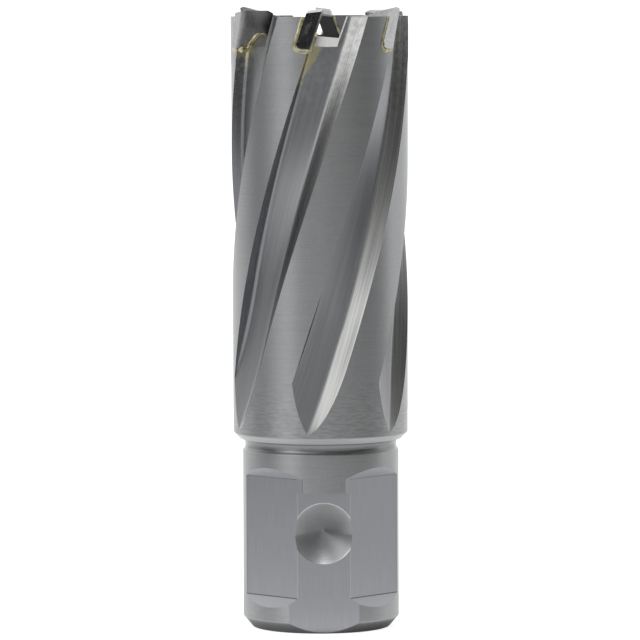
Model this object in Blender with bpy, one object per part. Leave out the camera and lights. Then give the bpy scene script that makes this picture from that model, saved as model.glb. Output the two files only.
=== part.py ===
# Annular cutter: a hollow steel cutter with six brazed carbide tips, standing on its shank end.
# Lengths are in metres and angles in degrees. The axis is +Z, with the tips at the top.
# Angles round the axis are measured from -Y, where the dimple of the shank faces, towards +X.

import math

import bmesh
import bpy
from mathutils import Vector

# Shank
SHANK_DIAMETER = 0.01905
SHANK_LENGTH = 0.0231
END_CHAMFER_WIDTH = 0.00117
END_CHAMFER_HEIGHT = 0.0013
PILOT_HOLE_DIAMETER = 0.008
NECK_DEPTH = 0.00027
NECK_WIDTH = 0.0008
NECK_FLARE = 0.00025
SHOULDER_CHAMFER = 0.00078

# Flats of the shank
CENTRE_FLAT_DEPTH = 0.00101
CENTRE_FLAT_LENGTH = 0.0171
SIDE_FLAT_DEPTH = 0.00124
SIDE_FLAT_END_GAP = 0.0043
SIDE_FLAT_ANGLE = 45.0
DIMPLE_DIAMETER = 0.00743
DIMPLE_HEIGHT = 0.0122
DIMPLE_CONE_ANGLE = 90.0

# Hollow fluted body
LAND_DIAMETER = 0.02154
BACK_TAPER = 0.00012
GROUND_BAND_STEP = 0.00005
GROUND_BAND_HEIGHT = 0.0051
BAND_RUN_IN = 0.001
WALL_THICKNESS = 0.0039
BODY_LENGTH = 0.0515
CAVITY_FLOOR_RISE = 0.0024
CAVITY_CONE_HEIGHT = 0.0012

# Flutes
TOOTH_COUNT = 6
FIRST_TOOTH_ANGLE = -5.4
HELIX_ANGLE = 18.6
FLUTE_WALL_DEPTH = 0.0015
FLUTE_WALL_LEAN = 0.6
FLUTE_WALL_SETBACK = 0.0001
FLUTE_CORNER_DEPTH = 0.00165
FLUTE_CORNER_ANGLE = 23.5
FLUTE_EDGE_ANGLE = 32.2
FLUTE_END_RISE = 0.00045
RUN_OUT_RADIUS = 0.05
RUN_OUT_SKEW = 0.0057
RUN_OUT_DRIFT = 3.6
EDGE_CURVE_LENGTH = 0.0081
EDGE_END_SHARE = 0.1

# Carbide tips and their pockets
TIP_THICKNESS = 0.0018
TIP_DEPTH_BELOW_TOP = 0.0039
TIP_OVERHANG = 0.00021
TIP_INNER_OVERHANG = 0.00024
TIP_SIDE_RELIEF = 0.00006
TIP_TOP_RELIEF = 0.00022
TIP_HEEL_RADIUS = 0.00085
BRAZE_THICKNESS = 0.00034
FIT_CLEARANCE = 0.00003

# Each crown lists places across the tip, from the inner edge (0) to the outer edge (1),
# with the height of the cutting edge over the top of the body. Opposite tips have the same crown.
CENTRE_CROWN = ((0.0, 0.0001), (0.22, 0.00062), (0.5, 0.00098), (1.0, 0.0007))
OUTER_CROWN = ((0.0, 0.00018), (0.24, 0.0004), (0.88, 0.00112), (1.0, 0.00098))
FLAT_CROWN = ((0.0, 0.0004), (0.18, 0.00072), (0.8, 0.00072), (1.0, 0.0007))
CROWNS = (CENTRE_CROWN, OUTER_CROWN, FLAT_CROWN)

# Chip notch through the wall in front of each tip
NOTCH_WIDTH = 0.0032
NOTCH_FLOOR_DROP = 0.00225
NOTCH_STEP_DROP = 0.0034
NOTCH_RAMP_WIDTH = 0.0009
NOTCH_FALL = 0.00035

# Fineness of the curved faces
ROUND_STEPS = 96
FLUTE_STEP_LENGTH = 0.0017
FLOOR_STEPS = 4
HEEL_STEPS = 3
DIMPLE_STEPS = 48
CUTTER_MARGIN = 0.0015
SHARP_ANGLE = 28.0

shank_radius = SHANK_DIAMETER / 2
pilot_radius = PILOT_HOLE_DIAMETER / 2
land_radius_top = LAND_DIAMETER / 2
band_radius = land_radius_top + GROUND_BAND_STEP
bore_radius = band_radius - WALL_THICKNESS
shoulder_top = SHANK_LENGTH + SHOULDER_CHAMFER
side_flat_top = SHANK_LENGTH - SIDE_FLAT_END_GAP
body_top = SHANK_LENGTH + BODY_LENGTH
cavity_floor = SHANK_LENGTH + CAVITY_FLOOR_RISE
band_bottom = body_top - GROUND_BAND_HEIGHT
taper_top = band_bottom - BAND_RUN_IN
tip_bottom = body_top - TIP_DEPTH_BELOW_TOP
tip_radius = band_radius + TIP_OVERHANG
tip_inner_radius = bore_radius - TIP_INNER_OVERHANG
twist_per_metre = math.degrees(math.tan(math.radians(HELIX_ANGLE)) / band_radius)
tip_lean = math.tan(math.radians(HELIX_ANGLE))
tip_middle = (tip_bottom + body_top) / 2
cut_radius = tip_radius + CUTTER_MARGIN
cut_top = body_top + CUTTER_MARGIN


def polar(angle, radius, height):
    turn = math.radians(angle)
    return Vector((radius * math.sin(turn), -radius * math.cos(turn), height))


def tooth_angle(tooth):
    return FIRST_TOOTH_ANGLE + tooth * 360 / TOOTH_COUNT


def make_material(name, colour, roughness, metallic):
    material = bpy.data.materials.new(name)
    material.use_nodes = True
    shader = material.node_tree.nodes["Principled BSDF"]
    shader.inputs["Base Color"].default_value = (*colour, 1)
    shader.inputs["Roughness"].default_value = roughness
    shader.inputs["Metallic"].default_value = metallic
    material.diffuse_color = (*colour, 1)
    return material


# A loft joins each section to the next, point by point. An open loft has its first and last
# sections as end faces, and a ring joins its last section to its first.
def loft(name, sections, ring=False):
    solid = bmesh.new()
    rows = [[solid.verts.new(point) for point in section] for section in sections]
    pairs = list(zip(rows, rows[1:]))
    if ring:
        pairs.append((rows[-1], rows[0]))
    else:
        solid.faces.new(rows[0])
        solid.faces.new(rows[-1])
    for near, far in pairs:
        for index in range(len(near)):
            solid.faces.new((near[index - 1], near[index], far[index], far[index - 1]))
    if not ring:
        bmesh.ops.triangulate(solid, faces=solid.faces[:])
    bmesh.ops.recalc_face_normals(solid, faces=solid.faces[:])
    mesh = bpy.data.meshes.new(name)
    solid.to_mesh(mesh)
    solid.free()
    result = bpy.data.objects.new(name, mesh)
    bpy.context.scene.collection.objects.link(result)
    return result


def revolve(name, profile):
    sections = []
    for step in range(ROUND_STEPS):
        angle = step * 360 / ROUND_STEPS
        sections.append([polar(angle, radius, height) for radius, height in profile])
    return loft(name, sections, ring=True)


# Each group of cutters holds solids that stay clear of each other, and is taken away in one cut.
def cut(target, name, cutters):
    group = bpy.data.collections.new(name)
    for cutter in cutters:
        group.objects.link(cutter)
        cutter.hide_render = True
        cutter.display_type = "WIRE"
    boolean = target.modifiers.new(name, "BOOLEAN")
    boolean.operation = "DIFFERENCE"
    boolean.operand_type = "COLLECTION"
    boolean.collection = group
    boolean.solver = "EXACT"


def bake(target):
    bpy.context.view_layer.update()
    evaluated = target.evaluated_get(bpy.context.evaluated_depsgraph_get())
    baked = bpy.data.meshes.new_from_object(evaluated)
    for boolean in list(target.modifiers):
        for cutter in list(boolean.collection.objects):
            bpy.data.objects.remove(cutter)
        bpy.data.collections.remove(boolean.collection)
        target.modifiers.remove(boolean)
    target.data = baked


def finish(target, material):
    target.data.materials.clear()
    target.data.materials.append(material)
    target.data.shade_smooth()
    target.data.set_sharp_from_angle(angle=math.radians(SHARP_ANGLE))


# The lands narrow slightly from the tips down to the shoulder.
def land_radius(height):
    share = (taper_top - height) / (taper_top - shoulder_top)
    return land_radius_top - BACK_TAPER * share


def turned_profile():
    shoulder_radius = land_radius(shoulder_top)
    neck_radius = shank_radius - NECK_DEPTH
    neck_bottom = SHANK_LENGTH - NECK_WIDTH - NECK_FLARE
    return [
        (pilot_radius, 0),
        (shank_radius - END_CHAMFER_WIDTH, 0),
        (shank_radius, END_CHAMFER_HEIGHT),
        (shank_radius, neck_bottom - NECK_FLARE),
        (neck_radius, neck_bottom),
        (neck_radius, SHANK_LENGTH - NECK_FLARE),
        (shank_radius, SHANK_LENGTH),
        (shoulder_radius - SHOULDER_CHAMFER, SHANK_LENGTH),
        (shoulder_radius, shoulder_top),
        (land_radius_top, taper_top),
        (band_radius, band_bottom),
        (band_radius, body_top),
        (bore_radius, body_top),
        (bore_radius, cavity_floor + CAVITY_CONE_HEIGHT),
        (pilot_radius, cavity_floor),
    ]


# How far the milling cutter has risen out of the flute, below the height where it starts to rise.
def run_out_lift(start, height):
    below = max(0, start - height)
    return RUN_OUT_RADIUS - math.sqrt(RUN_OUT_RADIUS**2 - below**2)


# One level section of a flute, from the upright wall under the tip to the far edge of the flute.
# The floor between them is straight, down to a corner. In the run-out each point of the floor
# rises to the surface, the wall side first.
def flute_section(angle, height, flute_end):
    surface = land_radius(height) + FIT_CLEARANCE
    run_out = math.sqrt(RUN_OUT_RADIUS**2 - (RUN_OUT_RADIUS - FLUTE_CORNER_DEPTH) ** 2)
    corner_start = flute_end + run_out
    drift = RUN_OUT_DRIFT * min(1, max(0, corner_start - height) / run_out)
    corner_angle = FLUTE_CORNER_ANGLE - drift
    curve = min(1, max(0, flute_end + EDGE_CURVE_LENGTH - height) / EDGE_CURVE_LENGTH)
    narrowing = math.sqrt(1 - (1 - EDGE_END_SHARE**2) * curve**2)
    edge_angle = corner_angle + (FLUTE_EDGE_ANGLE - corner_angle) * narrowing
    base = angle + twist_per_metre * (height - tip_middle)
    wall = base - math.degrees(FLUTE_WALL_SETBACK / band_radius)
    foot = polar(wall - FLUTE_WALL_LEAN, surface - FLUTE_WALL_DEPTH, height)
    corner = polar(base + corner_angle, surface - FLUTE_CORNER_DEPTH, height)
    section = [polar(wall + FLUTE_WALL_LEAN, cut_radius, height), polar(wall, surface, height)]
    for step in range(FLOOR_STEPS + 1):
        share = step / FLOOR_STEPS
        point = foot.lerp(corner, share)
        outward = Vector((point.x, point.y, 0)).normalized()
        start = corner_start + RUN_OUT_SKEW * (1 - share)
        section.append(point + outward * run_out_lift(start, height))
    section.append(polar(base + edge_angle, surface, height))
    section.append(polar(base + edge_angle + FLUTE_WALL_LEAN, cut_radius, height))
    section.append(polar(base + edge_angle / 2, cut_radius, height))
    return section


def flute_cutter(tooth):
    flute_end = shoulder_top + FLUTE_END_RISE
    steps = math.ceil((cut_top - flute_end) / FLUTE_STEP_LENGTH)
    sections = []
    for step in range(steps + 1):
        height = flute_end + (cut_top - flute_end) * step / steps
        sections.append(flute_section(tooth_angle(tooth), height, flute_end))
    return loft(f"flute_cutter_{tooth + 1}", sections)


# The plate of each tip leans along the helix. This is how far its points at a height lie to the
# side of the tooth's own radius, when they are some way behind the front face of the plate.
def plate_side(height, behind):
    return (height - tip_middle) * tip_lean - behind


def tooth_point(tooth, side, reach, height):
    turn = math.radians(tooth_angle(tooth))
    along = side * math.cos(turn) + reach * math.sin(turn)
    across = side * math.sin(turn) - reach * math.cos(turn)
    return Vector((along, across, height))


# A point of a tip, its braze or its pocket, at a distance from the axis of the cutter.
def plate_point(tooth, radius, height, behind):
    side = plate_side(height, behind)
    return tooth_point(tooth, side, math.sqrt(radius**2 - side**2), height)


# Pockets and notches start inside the bore, halfway from the axis to its wall.
def start_point(tooth, height, behind):
    return tooth_point(tooth, plate_side(height, behind), bore_radius / 2, height)


# The lower back corner of a tip is rounded. The arc runs from the bottom face to the back face,
# moved outwards by a margin.
def heel_arc(margin):
    radius = TIP_HEEL_RADIUS + margin
    arc = []
    for step in range(HEEL_STEPS + 1):
        turn = math.pi / 2 * step / HEEL_STEPS
        behind = TIP_THICKNESS - TIP_HEEL_RADIUS + radius * math.sin(turn)
        height = tip_bottom + TIP_HEEL_RADIUS - radius * math.cos(turn)
        arc.append((behind, height))
    return arc


def carbide_tip(tooth):
    crown = CROWNS[tooth % len(CROWNS)]
    sections = []
    for place, rise in crown:
        radius = tip_inner_radius + (tip_radius - tip_inner_radius) * place
        relief = TIP_SIDE_RELIEF * (2 * place - 1)
        front = body_top + rise
        outline = [(0, tip_bottom)] + heel_arc(0)
        outline += [(TIP_THICKNESS, front - TIP_TOP_RELIEF), (0, front)]
        section = []
        for behind, height in outline:
            trimmed = radius - relief * behind / TIP_THICKNESS
            section.append(plate_point(tooth, trimmed, height, behind))
        sections.append(section)
    return loft(f"carbide_tip_{tooth + 1}", sections)


def pocket_cutter(tooth):
    margin = BRAZE_THICKNESS + 2 * FIT_CLEARANCE
    outline = [(-FIT_CLEARANCE, tip_bottom - margin)] + heel_arc(margin)
    outline += [(TIP_THICKNESS + margin, cut_top), (-FIT_CLEARANCE, cut_top)]
    inside = [start_point(tooth, height, behind) for behind, height in outline]
    outside = [plate_point(tooth, cut_radius, height, behind) for behind, height in outline]
    return loft(f"pocket_cutter_{tooth + 1}", [inside, outside])


# The braze fills the gap under and behind each tip. Its sections follow the outline of the tip
# from the front of the bottom face, round the heel and up the back face.
def braze_joint(tooth):
    near = FIT_CLEARANCE
    far = BRAZE_THICKNESS + FIT_CLEARANCE
    near_path = [(0, tip_bottom - near)] + heel_arc(near) + [(TIP_THICKNESS + near, body_top)]
    far_path = [(0, tip_bottom - far)] + heel_arc(far) + [(TIP_THICKNESS + far, body_top)]
    sections = []
    for (near_behind, near_height), (far_behind, far_height) in zip(near_path, far_path):
        sections.append([
            plate_point(tooth, bore_radius, near_height, near_behind),
            plate_point(tooth, band_radius, near_height, near_behind),
            plate_point(tooth, band_radius, far_height, far_behind),
            plate_point(tooth, bore_radius, far_height, far_behind),
        ])
    return loft(f"braze_joint_{tooth + 1}", sections)


# The notch runs forwards from within the pocket. Its floor ramps down to the floor of the flute,
# and falls slightly towards its front wall.
def notch_cutter(tooth):
    sections = []
    middle = TIP_THICKNESS / 2
    ends = ((middle, FLUTE_WALL_DEPTH, 0), (-NOTCH_WIDTH, FLUTE_CORNER_DEPTH, NOTCH_FALL))
    for behind, flute_depth, fall in ends:
        floor = body_top - NOTCH_FLOOR_DROP - fall
        step = body_top - NOTCH_STEP_DROP - fall
        ramp_foot = band_radius - flute_depth
        section = [start_point(tooth, cut_top, behind), start_point(tooth, floor, behind)]
        section.append(plate_point(tooth, ramp_foot - NOTCH_RAMP_WIDTH, floor, behind))
        section.append(plate_point(tooth, ramp_foot, step, behind))
        section.append(plate_point(tooth, cut_radius, step, behind))
        section.append(plate_point(tooth, cut_radius, cut_top, behind))
        sections.append(section)
    return loft(f"notch_cutter_{tooth + 1}", sections)


# A flat is cut by a straight prism. Its outline lies in the plane through the axis and the
# middle of the flat, as distances from the axis and heights.
def flat_cutter(name, angle, outline):
    turn = math.radians(angle)
    outward = Vector((math.sin(turn), -math.cos(turn), 0))
    sideways = Vector((math.cos(turn), math.sin(turn), 0))
    sections = []
    for side in (-shank_radius, shank_radius):
        section = []
        for distance, height in outline:
            section.append(outward * distance + sideways * side + Vector((0, 0, height)))
        sections.append(section)
    return loft(name, sections)


def centre_flat_cutter():
    plane = shank_radius - CENTRE_FLAT_DEPTH
    outside = shank_radius + CUTTER_MARGIN
    outline = [
        (plane, -CUTTER_MARGIN),
        (outside, -CUTTER_MARGIN),
        (outside, CENTRE_FLAT_LENGTH),
        (plane, CENTRE_FLAT_LENGTH),
    ]
    return flat_cutter("centre_flat_cutter", 0, outline)


# The side flats have sloping shoulders at both ends.
def side_flat_cutter(name, angle):
    plane = shank_radius - SIDE_FLAT_DEPTH
    slope = SIDE_FLAT_DEPTH + CUTTER_MARGIN
    outline = [
        (plane, SIDE_FLAT_END_GAP),
        (plane + slope, SIDE_FLAT_END_GAP - slope),
        (plane + slope, side_flat_top + slope),
        (plane, side_flat_top),
    ]
    return flat_cutter(name, angle, outline)


def dimple_cutter():
    plane = shank_radius - CENTRE_FLAT_DEPTH
    slope = math.tan(math.radians(DIMPLE_CONE_ANGLE / 2))
    mouth = DIMPLE_DIAMETER / 2 + CUTTER_MARGIN * slope
    depth = DIMPLE_DIAMETER / 2 / slope
    cone = bmesh.new()
    apex = cone.verts.new((0, depth - plane, DIMPLE_HEIGHT))
    rim = []
    for step in range(DIMPLE_STEPS):
        turn = 2 * math.pi * step / DIMPLE_STEPS
        across = mouth * math.cos(turn)
        upward = mouth * math.sin(turn) + DIMPLE_HEIGHT
        rim.append(cone.verts.new((across, -plane - CUTTER_MARGIN, upward)))
    for index in range(len(rim)):
        cone.faces.new((rim[index - 1], rim[index], apex))
    cone.faces.new(rim)
    bmesh.ops.recalc_face_normals(cone, faces=cone.faces[:])
    mesh = bpy.data.meshes.new("dimple_cutter")
    cone.to_mesh(mesh)
    cone.free()
    result = bpy.data.objects.new("dimple_cutter", mesh)
    bpy.context.scene.collection.objects.link(result)
    return result


def cutter_body():
    body = revolve("cutter_body", turned_profile())
    teeth = range(TOOTH_COUNT)
    cut(body, "pockets", [pocket_cutter(tooth) for tooth in teeth])
    cut(body, "notches", [notch_cutter(tooth) for tooth in teeth])
    cut(body, "flutes", [flute_cutter(tooth) for tooth in teeth])
    cut(body, "centre_flat", [centre_flat_cutter()])
    cut(body, "side_flat_left", [side_flat_cutter("side_flat_cutter_left", -SIDE_FLAT_ANGLE)])
    cut(body, "side_flat_right", [side_flat_cutter("side_flat_cutter_right", SIDE_FLAT_ANGLE)])
    cut(body, "dimple", [dimple_cutter()])
    bake(body)
    return body


def build():
    for old in list(bpy.data.objects):
        bpy.data.objects.remove(old)
    steel = make_material("ground_steel", (0.42, 0.43, 0.45), 0.38, 1.0)
    carbide = make_material("carbide", (0.16, 0.16, 0.17), 0.35, 1.0)
    braze = make_material("braze", (0.42, 0.36, 0.16), 0.4, 1.0)
    finish(cutter_body(), steel)
    for tooth in range(TOOTH_COUNT):
        finish(carbide_tip(tooth), carbide)
        finish(braze_joint(tooth), braze)


build()
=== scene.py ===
import math

import bmesh
import bpy
import numpy as np
from mathutils import Matrix, Vector


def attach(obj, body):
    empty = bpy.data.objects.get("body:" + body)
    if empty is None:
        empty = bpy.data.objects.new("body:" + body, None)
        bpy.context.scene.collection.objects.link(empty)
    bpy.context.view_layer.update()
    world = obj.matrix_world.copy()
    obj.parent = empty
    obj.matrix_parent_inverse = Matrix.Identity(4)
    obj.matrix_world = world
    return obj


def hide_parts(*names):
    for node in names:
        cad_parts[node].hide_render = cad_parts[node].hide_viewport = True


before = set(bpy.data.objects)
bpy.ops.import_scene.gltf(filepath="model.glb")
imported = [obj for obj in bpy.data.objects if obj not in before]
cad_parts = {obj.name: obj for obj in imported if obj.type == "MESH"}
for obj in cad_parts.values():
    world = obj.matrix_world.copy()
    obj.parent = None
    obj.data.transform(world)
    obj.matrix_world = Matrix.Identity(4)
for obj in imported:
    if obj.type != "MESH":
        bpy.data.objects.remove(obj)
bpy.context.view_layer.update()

# An annular cutter standing on its shank. Lengths are in millimetres and become metres in the
# meshes. Angles go round the axis from -Y, where the dimple faces, towards +X.
mm = 0.001
scene = bpy.context.scene


def stacked(*parts):
    return np.stack(np.broadcast_arrays(*parts), axis=-1)


def polarGrid(angle, radius, height):
    # x = r sin(a), y = -r cos(a), z = h, for whole arrays that broadcast together.
    turn = np.radians(angle)
    return stacked(radius * np.sin(turn), -radius * np.cos(turn), height)


def inScene(name, data):
    thing = bpy.data.objects.new(name, data)
    scene.collection.objects.link(thing)
    return thing


def giveSteels(mesh):
    for material in steels:
        mesh.materials.append(material)


def newPiece(name, points, faces, kinds=None):
    mesh = bpy.data.meshes.new(name)
    mesh.from_pydata((points.reshape(-1, 3) * mm).tolist(), [], faces)
    if kinds is not None:
        giveSteels(mesh)
        mesh.polygons.foreach_set("material_index", np.ravel(kinds))
    return inScene(name, mesh)


def gridFaces(points, ring=False):
    # Row i of the grid joins row i+1 with quads, and every row closes on itself. With ring the
    # last row joins the first. Faces point outwards where rows go up the outside.
    rows, columns = points.shape[:2]
    index = np.arange(rows * columns).reshape(rows, columns)
    lines = np.vstack([index, index[:1]]) if ring else index
    near, far = lines[:-1], lines[1:]
    quads = np.stack([near, np.roll(near, -1, 1), np.roll(far, -1, 1), far], axis=-1)
    return quads.reshape(-1, 4).tolist(), index


def gridPiece(name, points, ring=False, kinds=None):
    return newPiece(name, points, gridFaces(points, ring)[0], kinds)


def cappedPiece(name, points):
    # A grid of closed rows whose first and last rows are filled, all faces turned outwards.
    quads, index = gridFaces(points)
    piece = newPiece(name, points, quads + [index[0, ::-1].tolist(), index[-1].tolist()])
    shape = bmesh.new()
    shape.from_mesh(piece.data)
    bmesh.ops.recalc_face_normals(shape, faces=shape.faces[:])
    shape.to_mesh(piece.data)
    shape.free()
    return piece


def roundedPath(corners, steps=4):
    # Each corner (x, y, size) becomes a quadratic curve that starts and ends size away from it:
    # (1 - t)^2 * start + 2 t (1 - t) * corner + t^2 * end.
    path = []
    places = np.linspace(0, 1, steps + 1)[:, None]
    neighbours = zip(corners, np.roll(corners, 1, 0), np.roll(corners, -1, 0))
    for (x, y, size), before, after in neighbours:
        corner = np.array([x, y])
        if size == 0:
            path.append(corner[None])
            continue
        towards = before[:2] - corner
        onwards = after[:2] - corner
        start = corner + towards / np.hypot(*towards) * size
        end = corner + onwards / np.hypot(*onwards) * size
        bend = 2 * places * (1 - places) * corner
        path.append((1 - places) ** 2 * start + bend + places ** 2 * end)
    return np.vstack(path)


def cutAway(target, cutters, kinds):
    # One exact Boolean for a group of cutters. The new faces take each cutter's kind of steel.
    group = bpy.data.collections.new("cutters")
    for cutter, kind in zip(cutters, kinds):
        giveSteels(cutter.data)
        cutter.data.polygons.foreach_set("material_index", [kind] * len(cutter.data.polygons))
        group.objects.link(cutter)
    modifier = target.modifiers.new("cut", "BOOLEAN")
    modifier.operation = "DIFFERENCE"
    modifier.operand_type = "COLLECTION"
    modifier.collection = group
    modifier.solver = "EXACT"
    modifier.material_mode = "INDEX"
    bpy.context.view_layer.update()
    evaluated = target.evaluated_get(bpy.context.evaluated_depsgraph_get())
    target.data = bpy.data.meshes.new_from_object(evaluated)
    target.modifiers.clear()
    for cutter in cutters:
        bpy.data.objects.remove(cutter)
    bpy.data.collections.remove(group)


def readAll(items, key, kind=int):
    values = np.empty(len(items), kind)
    items.foreach_get(key, values)
    return values


def smoothWithEdges(piece, angle=24):
    # Smooth shading, broken at edges over the angle in degrees and where the kind of finish
    # changes, but not between the walls and the floor of a flute, which are kinds 1 to 3.
    mesh = piece.data
    mesh.shade_smooth()
    mesh.set_sharp_from_angle(angle=math.radians(angle))
    edgeOfLoop = readAll(mesh.loops, "edge_index")
    kindOfFace = readAll(mesh.polygons, "material_index")
    kindOfFace[(kindOfFace > 1) & (kindOfFace < 4)] = 1
    kindOfLoop = np.repeat(kindOfFace, readAll(mesh.polygons, "loop_total"))
    lowest = np.full(len(mesh.edges), 99)
    highest = np.full(len(mesh.edges), -1)
    np.minimum.at(lowest, edgeOfLoop, kindOfLoop)
    np.maximum.at(highest, edgeOfLoop, kindOfLoop)
    sharp = readAll(mesh.edges, "use_edge_sharp", bool)
    mesh.edges.foreach_set("use_edge_sharp", sharp | (lowest != highest))


def newMaterial(name, colour, roughness, metallic=1.0):
    material = bpy.data.materials.new(name)
    material.use_nodes = True
    shader = material.node_tree.nodes["Principled BSDF"]
    shader.inputs["Base Color"].default_value = (*colour, 1)
    shader.inputs["Roughness"].default_value = roughness
    shader.inputs["Metallic"].default_value = metallic
    return material, material.node_tree, shader


def addNode(tree, kind, **settings):
    node = tree.nodes.new(kind)
    for key, value in settings.items():
        if key in node.inputs:
            node.inputs[key].default_value = value
        else:
            setattr(node, key, value)
    return node


def mathNode(operation, *values):
    # The values are numbers and links, and the node goes into the tree of the first link.
    tree = next(value.id_data for value in values if not isinstance(value, (int, float)))
    node = tree.nodes.new("ShaderNodeMath")
    node.operation = operation
    for slot, value in zip(node.inputs, values):
        if isinstance(value, (int, float)):
            slot.default_value = value
        else:
            tree.links.new(value, slot)
    return node.outputs[0]


def product(first, *others):
    for other in others:
        first = mathNode("MULTIPLY", first, other)
    return first


def plus(first, *others):
    for other in others:
        first = mathNode("ADD", first, other)
    return first


def minus(first, second):
    return mathNode("SUBTRACT", first, second)


def unitVector(vector):
    unit = addNode(vector.id_data, "ShaderNodeVectorMath", operation="NORMALIZE")
    vector.id_data.links.new(vector, unit.inputs[0])
    return unit.outputs[0]


def cosineTo(direction, way):
    # The cosine between a unit vector and a fixed way.
    cosine = addNode(direction.id_data, "ShaderNodeVectorMath", operation="DOT_PRODUCT")
    cosine.inputs[1].default_value = way
    direction.id_data.links.new(direction, cosine.inputs[0])
    return cosine.outputs["Value"]


def objectPlace(tree):
    return tree.nodes.new("ShaderNodeTexCoord").outputs["Object"]


def splitPlace(tree):
    split = addNode(tree, "ShaderNodeSeparateXYZ")
    tree.links.new(objectPlace(tree), split.inputs[0])
    return split.outputs


def cylinderCoordinates(tree, twist=0.0):
    # Returns the way round in millimetres at a radius of 10 mm, less the twist, then the radius
    # and the height in millimetres.
    x, y, z = splitPlace(tree)
    angle = mathNode("ARCTAN2", x, product(y, -1.0))
    height = product(z, 1000.0)
    squared = plus(product(x, x), product(y, y))
    radius = product(mathNode("SQRT", squared), 1000.0)
    along = minus(product(angle, 10.0), product(height, twist))
    return along, radius, height


def lines(first, firstScale, second, secondScale, detail=3.0):
    # Noise stretched so that its lines run along whichever coordinate has the smaller scale.
    tree = first.id_data
    vector = addNode(tree, "ShaderNodeCombineXYZ")
    tree.links.new(product(first, firstScale), vector.inputs[0])
    tree.links.new(product(second, secondScale), vector.inputs[1])
    noise = addNode(tree, "ShaderNodeTexNoise", Scale=1.0, Detail=detail, Roughness=0.6)
    tree.links.new(vector.outputs[0], noise.inputs["Vector"])
    return noise.outputs["Fac"]


def remap(value, low, high, newLow=0, newHigh=1):
    node = addNode(value.id_data, "ShaderNodeMapRange")
    for slot, number in zip(list(node.inputs)[1:5], (low, high, newLow, newHigh)):
        slot.default_value = number
    value.id_data.links.new(value, node.inputs[0])
    return node.outputs[0]


def band(value, low, lowFull, highFull, high):
    # 1 from lowFull to highFull, falling evenly to 0 at low and at high.
    rising = remap(value, low, lowFull)
    return mathNode("MINIMUM", rising, remap(value, highFull, high, 1, 0))


def colouredOver(shader, under, colour, amount):
    # Lays a colour over another one, or over a link, and makes the result the shader's colour.
    tree = shader.id_data
    mix = addNode(tree, "ShaderNodeMix", data_type="RGBA")
    if isinstance(under, tuple):
        mix.inputs[6].default_value = (*under, 1)
    else:
        tree.links.new(under, mix.inputs[6])
    mix.inputs[7].default_value = (*colour, 1)
    tree.links.new(amount, mix.inputs[0])
    tree.links.new(mix.outputs[2], shader.inputs["Base Color"])
    return mix.outputs[2]


def grainNoise(tree, scale, detail=3.0):
    noise = addNode(tree, "ShaderNodeTexNoise", Scale=scale, Detail=detail)
    tree.links.new(objectPlace(tree), noise.inputs["Vector"])
    return noise.outputs["Fac"]


def bumpFrom(shader, height, strength, distance=0.00002):
    tree = shader.id_data
    bump = addNode(tree, "ShaderNodeBump", Strength=strength, Distance=distance)
    tree.links.new(height, bump.inputs["Height"])
    tree.links.new(bump.outputs[0], shader.inputs["Normal"])


def brushed(shader, amount, tangent):
    # Grooves that run along the tangent, so that highlights spread across them.
    shader.inputs["Anisotropic"].default_value = amount
    shader.inputs["Anisotropic Rotation"].default_value = 0.25
    shader.id_data.links.new(tangent, shader.inputs["Tangent"])


brazeSmear = {
    "low": 66.0, "high": 70.9, "width": 1.8, "waver": 1.6, "blotches": 700.0,
    "edge": (0.1, 0.35), "start": 0.5, "colour": (0.54, 0.5, 0.32),
    # The near wall of a flute at the tip's middle, and the pitch, in millimetres round at 10 mm.
    "wallPlace": -23.54, "pitch": 10.472, "margin": 0.8,
    # It ran furthest at the front tip: the least share, and from where to where it grows, in metres.
    "leastShare": 0.2, "front": (-0.006, -0.009),
}


def smeared(tree, shader, steel, along, height):
    # Braze that ran down from a tip: a wedge on the near wall and floor, wider towards the top.
    look = brazeSmear
    local = minus(along, look["wallPlace"] - look["margin"])
    local = mathNode("FLOORED_MODULO", local, look["pitch"])
    local = minus(local, look["margin"])
    share = remap(splitPlace(tree)[1], *look["front"], look["leastShare"], 1)
    wide = product(remap(height, look["low"], look["high"], 0, look["width"]), share)
    noise = minus(grainNoise(tree, look["blotches"]), 0.5)
    wide = plus(wide, product(noise, look["waver"]))
    wedge = minus(wide, mathNode("ABSOLUTE", local))
    started = remap(height, look["low"], look["low"] + look["start"])
    there = product(remap(wedge, *look["edge"]), started)
    colouredOver(shader, steel, look["colour"], there)


turnedLook = {
    "dark": (0.32, 0.326, 0.33), "light": (0.39, 0.397, 0.402),
    # neck is painted shade in the neck groove and under the shoulder, shoulder a painted highlight on
    # its chamfer, bore painted shade down the bore.
    "neck": (0.22, 0.22, 0.225), "shoulder": (0.52, 0.525, 0.53), "bore": (0.19, 0.19, 0.195),
    "rough": (0.38, 0.46), "smoother": 0.2, "brushing": 0.8,
    "rings": 9.0, "chatter": 2.2, "grain": 0.7,
    # Heights in millimetres: where each band starts, is full, stays full and ends: chatter, the neck's
    # smoother finish with painted shade, painted shadow under the shoulder and a painted highlight on
    # the shoulder's chamfer.
    "chatterBand": (23.8, 24.2, 26, 32), "neckBand": (21.8, 21.95, 22.2, 22.9),
    "shadowUnderShoulderBand": (22.9, 23.0, 23.08, 23.12), "shoulderHighlightBand": (23.1, 23.2, 23.8, 23.9),
    # From boreRadius inwards the steel is darkened with painted shade down the bore.
    "chamferTop": (1.2, 1.5), "boreRadius": (7.0, 7.3),
}


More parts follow.
